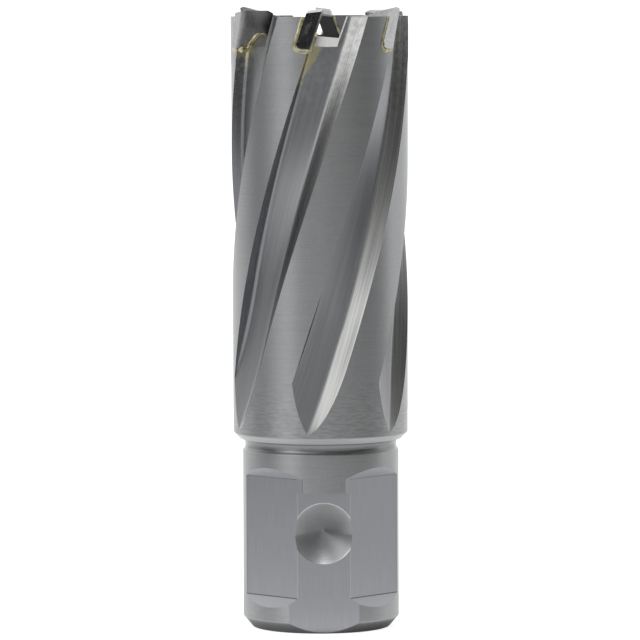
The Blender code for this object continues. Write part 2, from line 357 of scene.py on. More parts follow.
def turnedSteel():
    # Fine rings round the axis, as a lathe and a grinder leave them, wavier at the body's foot.
    # The neck groove and the end chamfer are smoother. Painted shade darkens the neck groove, a thin
    # band under the shoulder and the bore, and a painted highlight brightens the shoulder's chamfer.
    look = turnedLook
    material, tree, shader = newMaterial("turnedSteel", look["light"], 0.36)
    around, radius, height = cylinderCoordinates(tree)
    rings = lines(around, 0.12, height, look["rings"])
    chatter = minus(lines(around, 0.8, height, 4.0, detail=1.0), 0.5)
    waves = product(chatter, band(height, *look["chatterBand"]), look["chatter"])
    grain = product(minus(grainNoise(tree, 5000.0), 0.5), look["grain"])
    texture = plus(rings, waves, grain)
    neck = band(height, *look["neckBand"])
    smooth = mathNode("MAXIMUM", neck, remap(height, *look["chamferTop"], 1, 0))
    rough = remap(rings, 0.3, 0.7, *look["rough"])
    rough = minus(rough, product(smooth, look["smoother"]))
    tree.links.new(rough, shader.inputs["Roughness"])
    steel = colouredOver(shader, look["dark"], look["light"], remap(texture, 0.25, 0.75))
    # Painted shade in the neck groove and in a thin line under the shoulder, a painted highlight on the
    # shoulder's chamfer and painted shade down the bore.
    for colour, amount in (
        ("neck", neck),
        ("neck", band(height, *look["shadowUnderShoulderBand"])),
        ("shoulder", band(height, *look["shoulderHighlightBand"])),
        ("bore", remap(radius, *look["boreRadius"], 1, 0)),
    ):
        steel = colouredOver(shader, steel, look[colour], amount)
    bumpFrom(shader, texture, 0.25)
    tangent = addNode(tree, "ShaderNodeTangent", direction_type="RADIAL", axis="Z")
    brushed(shader, look["brushing"], tangent.outputs[0])
    return material


milledLook = {
    "twist": 0.31, "fine": 9.0, "broad": 1.7, "fineShare": 0.6,
    # Stains from brazing, from one height to another, and how strong they get.
    "stainHeights": (60, 71), "stain": 0.7, "stainScale": 1300.0,
}


def milledSteel(roughness, dark, light, spread=0.15):
    # Streaks that follow the helix down the flutes, fine ones over broad ones.
    look = milledLook
    material, tree, shader = newMaterial("milledSteel", light, roughness)
    around, _, height = cylinderCoordinates(tree, look["twist"])
    fine = product(lines(around, look["fine"], height, 0.07), look["fineShare"])
    broad = product(lines(around, look["broad"], height, 0.03), 1 - look["fineShare"])
    noise = minus(grainNoise(tree, look["stainScale"], 5.0), 0.5)
    stain = product(remap(height, *look["stainHeights"], 0, look["stain"]), noise)
    streaks = plus(fine, broad, stain)
    steel = colouredOver(shader, dark, light, remap(streaks, 0.5 - spread, 0.5 + spread))
    smeared(tree, shader, steel, around, height)
    rough = remap(streaks, 0.35, 0.65, roughness - 0.04, roughness + 0.05)
    tree.links.new(rough, shader.inputs["Roughness"])
    bumpFrom(shader, streaks, 0.35)
    return material


def flatSteel(dark, light, edges=False):
    # Milled faces, with faint lines along the axis.
    material, tree, shader = newMaterial("flatSteel", light, 0.34)
    around, radius, height = cylinderCoordinates(tree)
    streaks = lines(around, 6.0, height, 0.25)
    steel = colouredOver(shader, dark, light, remap(streaks, 0.3, 0.7))
    bumpFrom(shader, streaks, 0.15)
    if edges:
        edgedFlats(tree, shader, steel, radius, height)
    return material


flatEdges = {
    # In millimetres: how far out the centre flat meets the side flats, the heights where the side
    # flats end in ramps and where the centre flat ends, and the round.
    "meeting": 3.2, "rampFoot": 4.3, "rampTop": 18.8, "centreTop": 17.1, "round": 9.52,
    # dark is painted shade along the edges, light a painted highlight where two flats meet.
    "width": 0.065, "footWidth": 0.0845, "dark": (0.14, 0.14, 0.145), "light": (0.62, 0.62, 0.62),
    "topStrength": 0.5, "roundStrength": 0.45, "highlightStrength": 0.4,
}


def edgedFlats(tree, shader, steel, radius, height):
    # Thin lines along the edges of the flats: painted shade towards the round and the ramps, a painted
    # highlight where two flats meet.
    # A line is full up to 0.4 of its width from the edge and 0 past its width.
    look = flatEdges
    side = product(mathNode("ABSOLUTE", splitPlace(tree)[0]), 1000.0)

    def line(value, edge, width=look["width"]):
        return band(value, edge - width, edge - width * 0.4, edge + width * 0.4, edge + width)

    outer = remap(side, look["meeting"] - 0.05, look["meeting"] + 0.05)
    foot, top = look["rampFoot"], look["rampTop"]
    between = band(height, foot - 0.1, foot, top, top + 0.1)
    ends = mathNode("MAXIMUM", line(height, foot, look["footWidth"]),
                    product(line(height, top), look["topStrength"]))
    rim = product(line(radius, look["round"]), look["roundStrength"], between)
    dark = mathNode("MAXIMUM", product(ends, outer), rim)
    below = remap(height, look["centreTop"] - 0.05, look["centreTop"], look["highlightStrength"], 0)
    light = product(line(side, look["meeting"]), between, below)
    steel = colouredOver(shader, steel, look["dark"], dark)
    colouredOver(shader, steel, look["light"], light)


boredLook = {
    "dark": (0.45, 0.455, 0.46), "light": (0.56, 0.565, 0.57),
    "height": 0.0122, "rings": 6.0, "roughness": 0.25, "brushing": 0.85,
}


def boredSteel():
    # The dimple's cone, with rings round its own axis: r = sqrt(x^2 + (z - height)^2).
    look = boredLook
    material, tree, shader = newMaterial("boredSteel", turnedLook["light"], look["roughness"])
    x, y, z = splitPlace(tree)
    up = minus(z, look["height"])
    squares = plus(mathNode("POWER", x, 2.0), mathNode("POWER", up, 2.0))
    reach = product(mathNode("SQRT", squares), 1000.0)
    rings = lines(reach, look["rings"], y, 20.0)
    colouredOver(shader, look["dark"], look["light"], remap(rings, 0.3, 0.7))
    bumpFrom(shader, rings, 0.3)
    # The grooves run along (height - z, 0, x).
    tangent = addNode(tree, "ShaderNodeCombineXYZ")
    tree.links.new(product(up, -1.0), tangent.inputs[0])
    tree.links.new(x, tangent.inputs[2])
    brushed(shader, look["brushing"], unitVector(tangent.outputs[0]))
    return material


carbideShades = {
    "dark": (0.33, 0.33, 0.335), "light": (0.48, 0.48, 0.485), "inner": (0.14, 0.14, 0.145),
    "rough": (0.13, 0.22), "coarser": 0.16, "grain": 4500.0,
    # Radii in millimetres of the inner end faces, which get painted shade, and of the outer faces.
    "innerRadius": (6.95, 7.05), "outerRadius": (10.85, 10.93),
}


def carbideLook():
    # Ground carbide: a dark mirror with fine grinding lines up and down the plate. The outer faces
    # are ground finer than the others. The inner end faces are darkened with painted shade.
    look = carbideShades
    material, tree, shader = newMaterial("groundCarbide", (0.45, 0.45, 0.455), 0.17)
    around, radius, height = cylinderCoordinates(tree, milledLook["twist"])
    grinding = product(lines(around, 9.0, height, 0.8), 0.5)
    both = plus(grinding, product(grainNoise(tree, look["grain"]), 0.5))
    ground = colouredOver(shader, look["dark"], look["light"], remap(both, 0.36, 0.64))
    # Painted shade on the inner end faces, down in the bore.
    colouredOver(shader, ground, look["inner"], remap(radius, *look["innerRadius"], 1, 0))
    rough = remap(both, 0.35, 0.65, *look["rough"])
    rough = plus(rough, remap(radius, *look["outerRadius"], look["coarser"], 0))
    tree.links.new(rough, shader.inputs["Roughness"])
    bumpFrom(shader, both, 0.25)
    return material


def brazeLook():
    # Silver braze, yellowish and uneven, with darker flux in its hollows.
    material, tree, shader = newMaterial("yellowBraze", (0.6, 0.56, 0.36), 0.36)
    grain = grainNoise(tree, 1800.0, 4.0)
    amount = remap(grain, 0.35, 0.65)
    colouredOver(shader, (0.4, 0.36, 0.17), (0.78, 0.75, 0.55), amount)
    bumpFrom(shader, grain, 0.5, 0.00006)
    return material


steels = [
    turnedSteel(),
    # The near wall's darker colours are painted shade.
    milledSteel(0.28, (0.2, 0.205, 0.215), (0.3, 0.305, 0.32)),  # near wall of a flute
    milledSteel(0.36, (0.3, 0.308, 0.322), (0.4, 0.408, 0.422)),  # floor
    milledSteel(0.24, (0.25, 0.25, 0.25), (0.43, 0.43, 0.42), 0.12),  # far wall
    flatSteel((0.41, 0.41, 0.405), (0.48, 0.48, 0.475)),  # notches
    flatSteel((0.36, 0.365, 0.38), (0.4, 0.405, 0.42)),  # pockets
    flatSteel((0.355, 0.36, 0.38), (0.395, 0.4, 0.42), edges=True),  # flats
    boredSteel(),
]
kindNotch, kindPocket, kindFlat, kindDimple = 4, 5, 6, 7
carbide = carbideLook()
braze = brazeLook()
print("materials made")

body = {
    "shankRadius": 9.525, "shankLength": 23.1, "pilotRadius": 4.0,
    "endChamferWidth": 1.17, "endChamferHeight": 1.3,
    "neckDepth": 0.27, "neckWidth": 0.8, "neckFlare": 0.25, "shoulderChamfer": 0.78,
    "landRadius": 10.77, "backTaper": 0.12, "bandStep": 0.05, "bandHeight": 5.1, "bandRunIn": 1.0,
    "boreRadius": 6.92, "top": 74.6, "cavityFloor": 25.5, "cavityCone": 1.2,
    "longestRun": 1.5, "seam": 22.45, "outsideFrom": 24.0, "rimFoot": 69.5,
}
shoulderTop = body["shankLength"] + body["shoulderChamfer"]
bandRadius = body["landRadius"] + body["bandStep"]
taperTop = body["top"] - body["bandHeight"] - body["bandRunIn"]

flute = {
    "teeth": 6, "firstAngle": -5.4, "helixAngle": 18.6,
    "wallDepth": 1.5, "wallLean": 0.6, "cornerDepth": 1.65, "cornerAngle": 23.5, "edgeAngle": 32.2,
    "endRise": 0.45, "runOutRadius": 50.0, "runOutSkew": 5.7, "runOutDrift": 3.6,
    "edgeCurve": 8.1, "edgeEndShare": 0.1, "wallSetback": 0.1, "evenFrom": 45.0,
    "landColumns": 12, "wallColumns": 3, "floorColumns": 10, "farColumns": 5,
    "rowsBelow": 8, "rowsRunOut": 48, "rowsEven": 40, "rowsRim": 12,
    # The curve from wall to floor: where the wall ends, how far it reaches up the wall and out
    # along the floor, and its places. Then the same for the corner under the far wall.
    "wallEnd": 0.72, "footUp": 0.28, "footOut": 0.11, "footPlaces": (0.14, 0.28, 0.42, 0.56, 0.7, 0.85),
    "floorEnd": 0.93, "cornerIn": 0.07, "cornerUp": 0.14, "cornerPlaces": (0.2, 0.4, 0.6, 0.8),
}
tip = {
    "thickness": 1.8, "depthBelowTop": 3.9, "overhang": 0.21, "innerOverhang": 0.24,
    "sideRelief": 0.06, "topRelief": 0.22, "heelRadius": 0.85, "braze": 0.34, "gap": 0.03,
}
notch = {
    "width": 2.88, "floorDrop": 2.25, "stepDrop": 3.4, "rampWidth": 0.9, "fall": 0.35, "flare": 0.13,
}
tipBottom = body["top"] - tip["depthBelowTop"]
tipMiddle = (tipBottom + body["top"]) / 2
tipRadius = bandRadius + tip["overhang"]
tipInner = body["boreRadius"] - tip["innerOverhang"]
tipLean = math.tan(math.radians(flute["helixAngle"]))
twistPerMm = math.degrees(tipLean / bandRadius)
# How far in and out the cutters of the rim reach, and how high.
cutInner, cutRadius = 5.0, 14.0
cutTop = body["top"] + 1.5
teeth = range(flute["teeth"])


def toothAngle(tooth):
    return flute["firstAngle"] + tooth * 360 / flute["teeth"]


def landRadius(height):
    # The lands widen evenly upwards: R - taper * (top - z) / (top - shoulder).
    share = (taperTop - height) / (taperTop - shoulderTop)
    return body["landRadius"] - body["backTaper"] * share


def outerRadius(height):
    # The lands, then an even run-in up to the ground band, which stands out by one step.
    runIn = np.clip((height - taperTop) / body["bandRunIn"], 0, 1)
    return np.where(height > taperTop, body["landRadius"] + body["bandStep"] * runIn, landRadius(height))


def fluteColumns():
    # One pitch of the body's section as columns. A column is a mix of five points of the section:
    # the last flute's far edge, this flute's near edge, its foot, its corner and its far edge.
    # Lift says which part of the floor it rises with in the run-out, and by how much of the rise.
    # The kinds are 0 land, 1 upright wall, 2 floor and 3 far wall, each for the face after it.
    mixes, shares, lifts, kinds = [], [], [], []
    f = flute

    def add(mix, share, lift, kind):
        mixes.append(mix)
        shares.append(share)
        lifts.append(lift)
        kinds.append(kind)

    for u in np.linspace(0, 1, f["landColumns"] + 1)[:-1]:
        add((1 - u, u, 0, 0, 0), -1, 0, 0)
    for v in np.linspace(0, f["wallEnd"], f["wallColumns"]):
        add((0, 1 - v, v, 0, 0), 0 if v else -1, v, 1)
    for t in f["footPlaces"]:
        before, after = (1 - t) ** 2 * f["footUp"], t ** 2 * f["footOut"]
        add((0, before, 1 - before - after, after, 0), after, 1 - before, 1 if t < 0.5 else 2)
    for share in np.linspace(f["footOut"], f["floorEnd"], f["floorColumns"]):
        add((0, 0, 1 - share, share, 0), share, 1, 2)
    for t in f["cornerPlaces"]:
        before, after = (1 - t) ** 2 * f["cornerIn"], t ** 2 * f["cornerUp"]
        add((0, 0, before, 1 - before - after, after), 1 - before, 1 - after, 2 if t < 0.5 else 3)
    for w in np.linspace(f["cornerUp"], 1, f["farColumns"] + 1)[:-1]:
        add((0, 0, 0, 1 - w, w), 1, 1 - w, 3)
    return (np.array(column) for column in (mixes, shares, lifts, kinds))


def fluteSurface(z, mixes, shares, lifts):
    # Points of every column at its own heights. The near wall leans back and the floor is straight.
    # In the run-out a floor point rises by R - sqrt(R^2 - drop^2), the wall side first, as the
    # milling cutter left the steel, and the corner drifts back.
    f = flute
    end = shoulderTop + f["endRise"]
    surface = landRadius(z) + tip["gap"]
    runOut = math.sqrt(f["runOutRadius"] ** 2 - (f["runOutRadius"] - f["cornerDepth"]) ** 2)
    cornerStart = end + runOut
    cornerAngle = f["cornerAngle"] - f["runOutDrift"] * np.clip((cornerStart - z) / runOut, 0, 1)
    curve = np.clip((end + f["edgeCurve"] - z) / f["edgeCurve"], 0, 1)
    narrowing = np.sqrt(1 - (1 - f["edgeEndShare"] ** 2) * curve ** 2)
    edgeAngle = cornerAngle + (f["edgeAngle"] - cornerAngle) * narrowing
    base = f["firstAngle"] + twistPerMm * (z - tipMiddle)
    wall = base - math.degrees(f["wallSetback"] / bandRadius)
    outside = outerRadius(z)
    points = np.stack([
        polarGrid(base + edgeAngle - 360 / f["teeth"], outside, z),
        polarGrid(wall, outside, z),
        polarGrid(wall - f["wallLean"], surface - f["wallDepth"], z),
        polarGrid(base + cornerAngle, surface - f["cornerDepth"], z),
        polarGrid(base + edgeAngle, outside, z),
    ])
    mixed = np.einsum("kn,krnd->rnd", mixes.T, points)
    # Land points are a mix of two edges, so they are pushed back out to the round.
    across = mixed[..., :2]
    radius = np.linalg.norm(across, axis=-1)
    outward = across / radius[..., None]
    drop = np.clip(cornerStart + f["runOutSkew"] * (1 - np.clip(shares, 0, 1)) - z, 0, f["runOutRadius"])
    rise = (f["runOutRadius"] - np.sqrt(f["runOutRadius"] ** 2 - drop ** 2)) * lifts
    radius = np.where(shares < 0, outside, radius + rise)
    return outward, radius, outside


def fluteStarts(mixes, shares, lifts):
    # The height where each column leaves the round, found by halving between the flute's end and
    # the full depth. Columns of the land take heights between those of their neighbours.
    count = len(shares)
    low = np.full((1, count), shoulderTop + flute["endRise"])
    high = np.full((1, count), flute["evenFrom"])
    for _ in range(40):
        middle = (low + high) / 2
        _, radius, outside = fluteSurface(middle, mixes, shares, lifts)
        above = radius < outside
        high = np.where(above, middle, high)
        low = np.where(above, low, middle)
    starts = high[0]
    cut = np.flatnonzero(shares >= 0)
    places = np.concatenate([[0], cut, [count]])
    heights = np.concatenate([[starts[cut[-1]]], starts[cut], [starts[cut[-1]]]])
    return np.interp(np.arange(count), places, heights)


def wayRound(points):
    # The angle of each point from -Y towards +X, in degrees, without jumps along a row.
    return np.degrees(np.unwrap(np.arctan2(points[..., 0], -points[..., 1])))


def evened(angles, total):
    # Angles that only grow: 0.67 of their running maximum and 0.33 of an even spacing.
    even = angles[0] + np.arange(len(angles)) * total / len(angles)
    return np.maximum.accumulate(angles) * 0.67 + even * 0.33


def bodyRows():
    # The outside of the body as one grid from the neck to the rim's foot: rows below each
    # column's start, rows in the run-out and even rows above.
    mixes, shares, lifts, kinds = fluteColumns()
    starts = fluteStarts(mixes, shares, lifts)
    f = flute
    lowShares = np.linspace(0, 1, f["rowsBelow"] + 1)[:-1, None]
    curvedShares = np.linspace(0, 1, f["rowsRunOut"] + 1)[:-1, None]
    below = body["outsideFrom"] + (starts - body["outsideFrom"]) * lowShares
    curved = starts + (f["evenFrom"] - starts) * curvedShares
    even = np.linspace(f["evenFrom"], body["rimFoot"], f["rowsEven"] + 1)[:, None] + starts * 0
    rim = np.linspace(body["rimFoot"], body["top"], f["rowsRim"] + 1)[:, None] + starts * 0
    z = np.vstack([below, curved, even[:-1], rim])
    outward, radius, outside = fluteSurface(z, mixes, shares, lifts)
    level = np.arange(len(z))[:, None]
    radius = np.where(level <= f["rowsBelow"], outside, radius)
    angle = wayRound(outward)
    share = np.clip(level / f["rowsBelow"], 0, 1)
    angle = evened(angle[0], 360 / f["teeth"]) * (1 - share) + angle * share
    onePitch = polarGrid(angle, radius, z)
    turns = [np.array(Matrix.Rotation(tooth * 2 * math.pi / f["teeth"], 3, "Z")) for tooth in teeth]
    grid = np.concatenate([onePitch @ turn.T for turn in turns], axis=1)
    faceKinds = np.where(level[:-1] < f["rowsBelow"], 0, kinds)
    return grid, np.tile(faceKinds, (1, f["teeth"])), len(z) - len(rim)


def profilePath(corners, longest):
    # A profile of (radius, height) with rounded corners and long runs divided evenly.
    path = roundedPath(np.array(corners))
    pieces = [path[:1]]
    for start, stop in zip(path, path[1:]):
        count = max(1, math.ceil(np.hypot(*(stop - start)) / longest))
        pieces.append(start + (stop - start) * (np.arange(1, count + 1) / count)[:, None])
    return np.vstack(pieces)


def platePoints(tooth, radius, height, behind):
    # Points at a radius and height, some way behind the front face of a plate that leans along
    # the helix. Its sideways place is (height - middle) * lean - behind.
    side = (height - tipMiddle) * tipLean - behind
    reach = np.sqrt(radius ** 2 - side ** 2)
    turn = math.radians(toothAngle(tooth))
    x = side * math.cos(turn) + reach * math.sin(turn)
    y = side * math.sin(turn) - reach * math.cos(turn)
    return stacked(x, y, height)


def heelArc(margin, steps=6):
    # Quarter circle from the bottom face of a tip to its back face, as (behind, height).
    radius = tip["heelRadius"] + margin
    turn = np.linspace(0, math.pi / 2, steps + 1)
    behind = tip["thickness"] - tip["heelRadius"] + radius * np.sin(turn)
    return np.stack([behind, tipBottom + tip["heelRadius"] - radius * np.cos(turn)], axis=-1)


def pocketCutter(tooth):
    # The tip's outline, wider by the braze and a gap on either side of it.
    margin = tip["braze"] + 2 * tip["gap"]
    outline = np.vstack([
        [(-tip["gap"], tipBottom - margin)], heelArc(margin),
        [(tip["thickness"] + margin, cutTop), (-tip["gap"], cutTop)],
    ])
    radii = np.array([cutInner, cutRadius])[:, None]
    points = platePoints(tooth, radii, outline[None, :, 1], outline[None, :, 0])
    return cappedPiece(f"pocketCutter{tooth + 1}", points)


def notchCutter(tooth):
    # Two sections, in the tip's middle and at the far wall: floor, ramp and a step further out.
    middle = tip["thickness"] / 2
    ends = ((middle, flute["wallDepth"], 0.0), (-notch["width"], flute["cornerDepth"], notch["fall"]))
    rows = []
    for behind, depth, fall in ends:
        floor = body["top"] - notch["floorDrop"] - fall
        step = body["top"] - notch["stepDrop"] - fall
        rampFoot = bandRadius - depth
        rampTop = rampFoot - notch["rampWidth"]
        radius = np.array([cutInner, rampTop, rampFoot, cutRadius, cutRadius, cutInner])
        height = np.array([floor, floor, step, step, cutTop, cutTop])
        # The far wall opens outwards, from the bore on.
        opening = notch["flare"] * (radius - body["boreRadius"]) if behind < 0 else 0
        rows.append(platePoints(tooth, radius, height, behind - opening))
    return cappedPiece(f"notchCutter{tooth + 1}", np.array(rows))


shank = {
    "centreFlatDepth": 1.01, "centreFlatLength": 17.1,
    "sideFlatDepth": 1.24, "sideFlatEndGap": 4.3, "sideFlatAngle": 45.0,
    "dimpleRadius": 3.715, "dimpleHeight": 12.2, "dimplePointRound": 0.1,
    "dimpleSides": 96, "mouthChamfer": 0.03,
    # How far the cutters reach to each side, outwards, under the foot and past a face.
    "cutWidth": 11.0, "cutOut": 12, "cutUnder": 2, "cutPast": 1.5,
}


def flatCutter(name, angle, outline):
    # A straight prism across the shank. Its outline is (distance from the axis, height).
    turn = math.radians(angle)
    outward = np.array([math.sin(turn), -math.cos(turn), 0])
    sideways = np.array([math.cos(turn), math.sin(turn), 0])
    outline = np.array(outline)
    sides = np.array([-shank["cutWidth"], shank["cutWidth"]])[:, None, None]
    upright = np.array([0, 0, 1]) * outline[None, :, 1:]
    points = outward * outline[None, :, :1] + sideways * sides + upright
    return cappedPiece(name, points)


def shankCutters():
    # A flat in front, open at the foot, and one to each side, which ends in ramps of 45 degrees.
    s = shank
    centre = body["shankRadius"] - s["centreFlatDepth"]
    side = body["shankRadius"] - s["sideFlatDepth"]
    low = s["sideFlatEndGap"]
    high = body["shankLength"] - s["sideFlatEndGap"]
    slope = s["sideFlatDepth"] + s["cutPast"]
    sideOutline = [(side, low), (side + slope, low - slope), (side + slope, high + slope), (side, high)]
    foot, out, top = -s["cutUnder"], s["cutOut"], s["centreFlatLength"]
    centreOutline = [(centre, foot), (out, foot), (out, top), (centre, top)]
    return (
        flatCutter("centreFlatCutter", 0, centreOutline),
        flatCutter("leftFlatCutter", -s["sideFlatAngle"], sideOutline),
        flatCutter("rightFlatCutter", s["sideFlatAngle"], sideOutline),
    )


def dimpleCutter():
    # A cone of 90 degrees: its radius is the depth left to its point, which is slightly round.
    plane = body["shankRadius"] - shank["centreFlatDepth"]
    mouth = shank["dimpleRadius"]
    chamfer, sides = shank["mouthChamfer"], shank["dimpleSides"]
    depth = np.array([
        0.02, 0.1, 0.35, 0.8, 1.4, 2.0, 2.6, 3.2,
        mouth - 0.12, mouth - chamfer, mouth, mouth + shank["cutPast"],
    ])
    # The radius is sqrt(d^2 + 2 d * round * e^(-4 d)).
    radius = np.sqrt(depth ** 2 + 2 * depth * shank["dimplePointRound"] * np.exp(-depth * 4))
    radius[-2:] += chamfer
    turn = np.arange(sides)[None, :] * 2 * math.pi / sides
    points = stacked(
        radius[:, None] * np.cos(turn),
        -(plane - shank["dimpleRadius"] + depth[:, None]),
        shank["dimpleHeight"] + radius[:, None] * np.sin(turn),
    )
    return cappedPiece("dimpleCutter", points)


def joinShells(name, pieces, seams):
    # Drops the faces that close each shell at a seam height, then welds the shells together.
    # The slack and the weld are in metres.
    slack, weld = 1e-8, 5e-7
    shape = bmesh.new()
    for piece in pieces:
        shape.from_mesh(piece.data)
        bpy.data.objects.remove(piece)
    caps = [face for face in shape.faces if any(
        all(abs(vert.co.z - seam * mm) < slack for vert in face.verts) for seam in seams)]
    bmesh.ops.delete(shape, geom=caps, context="FACES")
    bmesh.ops.remove_doubles(shape, verts=shape.verts[:], dist=weld)
    mesh = bpy.data.meshes.new(name)
    shape.to_mesh(mesh)
    shape.free()
    giveSteels(mesh)
    return inScene(name, mesh)


def makeBody():
    b = body
    grid, kinds, rimRow = bodyRows()
    lowAngles = wayRound(grid[0])
    highAngles = evened(wayRound(grid[-1]), 360)
    neck = b["shankRadius"] - b["neckDepth"]
    neckBottom = b["shankLength"] - b["neckWidth"] - b["neckFlare"]
    shoulderRadius = landRadius(shoulderTop)

    def plain(rows):
        return np.zeros((rows, grid.shape[1]), int)

    # Shank, closed at the seam in the neck, then cut by the flats and the dimple. Each corner of
    # a profile is its radius, its height and the size of its round.
    path = profilePath([
        (b["pilotRadius"], 1, 0), (b["pilotRadius"], 0, 0.15),
        (b["shankRadius"] - b["endChamferWidth"], 0, 0.08),
        (b["shankRadius"], b["endChamferHeight"], 0.15),
        (b["shankRadius"], neckBottom - b["neckFlare"], 0.12),
        (neck, neckBottom, 0.3), (neck, b["seam"], 0), (b["pilotRadius"], b["seam"], 0),
    ], b["longestRun"])
    rows = polarGrid(lowAngles, path[:, :1], path[:, 1:])
    shankPiece = gridPiece("shank", rows, ring=True, kinds=plain(len(rows)))
    cutAway(shankPiece, [*shankCutters(), dimpleCutter()], [kindFlat] * 3 + [kindDimple])

    # Rim, closed at its foot, then cut by the pockets and the notches.
    inside = polarGrid(highAngles, b["boreRadius"], np.array([[b["top"]], [b["rimFoot"]]]))
    rimKinds = np.vstack([kinds[rimRow:], plain(3)])
    rimPiece = gridPiece("rim", np.concatenate([grid[rimRow:], inside]), ring=True, kinds=rimKinds)
    for cutter, kind in ((pocketCutter, kindPocket), (notchCutter, kindNotch)):
        cutAway(rimPiece, [cutter(tooth) for tooth in teeth], [kind] * len(teeth))

    # The outside and the bore between the seams need no cuts.
    path = profilePath([
        (neck, b["seam"], 0), (neck, b["shankLength"] - b["neckFlare"], 0.3),
        (b["shankRadius"], b["shankLength"], 0.04),
        (shoulderRadius - b["shoulderChamfer"], b["shankLength"], 0.06),
        (shoulderRadius, shoulderTop, 0.08), (landRadius(b["outsideFrom"]), b["outsideFrom"], 0),
    ], b["longestRun"])[:-1]
    shoulder = polarGrid(lowAngles, path[:, :1], path[:, 1:])
    outside = np.concatenate([shoulder, grid[:rimRow + 1]])
    outsideKinds = np.vstack([plain(len(shoulder)), kinds[:rimRow]])
    outsidePiece = gridPiece("outside", outside, kinds=outsideKinds)
    path = profilePath([
        (b["boreRadius"], b["rimFoot"], 0), (b["boreRadius"], b["cavityFloor"] + b["cavityCone"], 0.5),
        (b["pilotRadius"], b["cavityFloor"], 0.1), (b["pilotRadius"], b["seam"], 0),
    ], 4.0)
    share = (path[:, 1:] - b["seam"]) / (b["rimFoot"] - b["seam"])
    rows = polarGrid(lowAngles + (highAngles - lowAngles) * share, path[:, :1], path[:, 1:])
    borePiece = gridPiece("bore", rows, kinds=plain(len(rows) - 1))
    shells = [shankPiece, outsidePiece, rimPiece, borePiece]
    return joinShells("cutterBody", shells, [b["seam"], b["rimFoot"]])


bodyPiece = makeBody()
smoothWithEdges(bodyPiece)
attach(bodyPiece, "root")
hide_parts("cutter_body")
print("body made:", len(bodyPiece.data.polygons), "faces")

# The three crowns: (share of the way out, rise above the body's top) along the cutting edge.
crowns = (
    ((0.0, 0.1), (0.22, 0.62), (0.5, 0.98), (1.0, 0.7)),
    ((0.0, 0.18), (0.24, 0.4), (0.88, 1.12), (1.0, 0.98)),
    ((0.0, 0.4), (0.18, 0.72), (0.8, 0.72), (1.0, 0.7)),
)
tipEdge = {"round": 0.06, "cutting": 0.02, "foot": 0.1}


def insetOutline(outline, margin):
    # The outline moved towards its middle by the margin: p + margin * (m - p) / |m - p|.
    inward = outline.mean(0) - outline
    return outline + inward / np.linalg.norm(inward, axis=1)[:, None] * margin


def carbideTip(tooth):
    # Sections across the plate at each place of its crown, each one bottom, heel, back and top
    # with slightly rounded corners. The first and last are inset, which softens the end edges.
    edge = tipEdge["round"]
    crown = crowns[tooth % 3]
    stations = [(crown[0][0], crown[0][1], 0.0, edge)]
    for place, rise in crown:
        shift = edge if place == 0 else -edge if place == 1 else 0.0
        stations.append((place, rise, shift, 0.0))
    stations.append((crown[-1][0], crown[-1][1], 0.0, edge))
    rows = []
    for place, rise, shift, inset in stations:
        radius = tipInner + (tipRadius - tipInner) * place + shift
        relief = tip["sideRelief"] * (2 * place - 1)
        front = body["top"] + rise
        corners = [(0, tipBottom, tipEdge["foot"])]
        corners += [(x, z, 0) for x, z in heelArc(0)]
        corners += [(tip["thickness"], front - tip["topRelief"], edge), (0, front, tipEdge["cutting"])]
        outline = insetOutline(roundedPath(np.array(corners, float), 2), inset)
        trimmed = radius - relief * outline[:, 0] / tip["thickness"]
        rows.append(platePoints(tooth, trimmed, outline[:, 1], outline[:, 0]))
    return cappedPiece(f"carbideTip{tooth + 1}", np.array(rows))


bead = {
    "stand": 0.02, "swell": 0.05, "spread": 1.2, "waver": 0.16, "rows": 40,
    # The tube at the foot of the rake face. Its size falls to endSize at both ends.
    "footSize": 0.38, "innerSize": 0.25, "endSize": 0.15, "tubeWaver": 0.35, "ahead": 0.02,
    "sides": 12, "tubeRows": 36,
}


def wavering(places, tooth, amount):
    # 1 + amount * (sin 9t + 0.6 sin 23t + 0.4 sin 41t) / 2, with a phase that differs by tooth.
    turn = 2 * math.pi * places
    phase = 1.7 * tooth
    waves = np.sin(1.43 * turn + phase) + 0.6 * np.sin(3.66 * turn + 2.1 * phase)
    waves = waves + 0.4 * np.sin(6.52 * turn + 3.3 * phase)
    return 1 + amount * waves / 2


def alongPath(path, places):
    # Points of a path at shares of its whole length.
    length = np.concatenate([[0], np.cumsum(np.hypot(*np.diff(path, axis=0).T))])
    return np.stack([np.interp(places * length[-1], length, path[:, k]) for k in (0, 1)], axis=-1)


def brazeJoint(tooth):
    # The gap under and behind a tip, filled from the bore to the outside, where it stands up in a
    # wavering bead: the outer radius is the steel's plus stand + swell * sin(pi * share across).
    places = np.linspace(0, 1, bead["rows"])
    near, far = tip["gap"], (tip["braze"] + tip["gap"]) * wavering(places, tooth, bead["waver"])
    ends = []
    for margin in (0, 1):
        path = np.vstack([
            [(0, tipBottom - margin)], heelArc(margin), [(tip["thickness"] + margin, body["top"])],
        ])
        ends.append(alongPath(path, places))
    inner, outer = body["boreRadius"], bandRadius
    across = [(share, outer) for share in (0, 0.25, 0.5, 0.75, 1)]
    rows = []
    for share, radius in ((0, inner), *across, (1, inner)):
        spread = bead["spread"] if radius == outer and share else 1
        margin = (near + (far - near) * share * spread)[:, None]
        line = ends[0] + (ends[1] - ends[0]) * margin
        line[-1, 1] = body["top"]
        swell = bead["stand"] + bead["swell"] * math.sin(math.pi * share) if radius == outer else 0
        rows.append(platePoints(tooth, radius + swell, line[:, 1], line[:, 0]))
    return cappedPiece(f"brazeJoint{tooth + 1}", np.array(rows).swapaxes(0, 1))


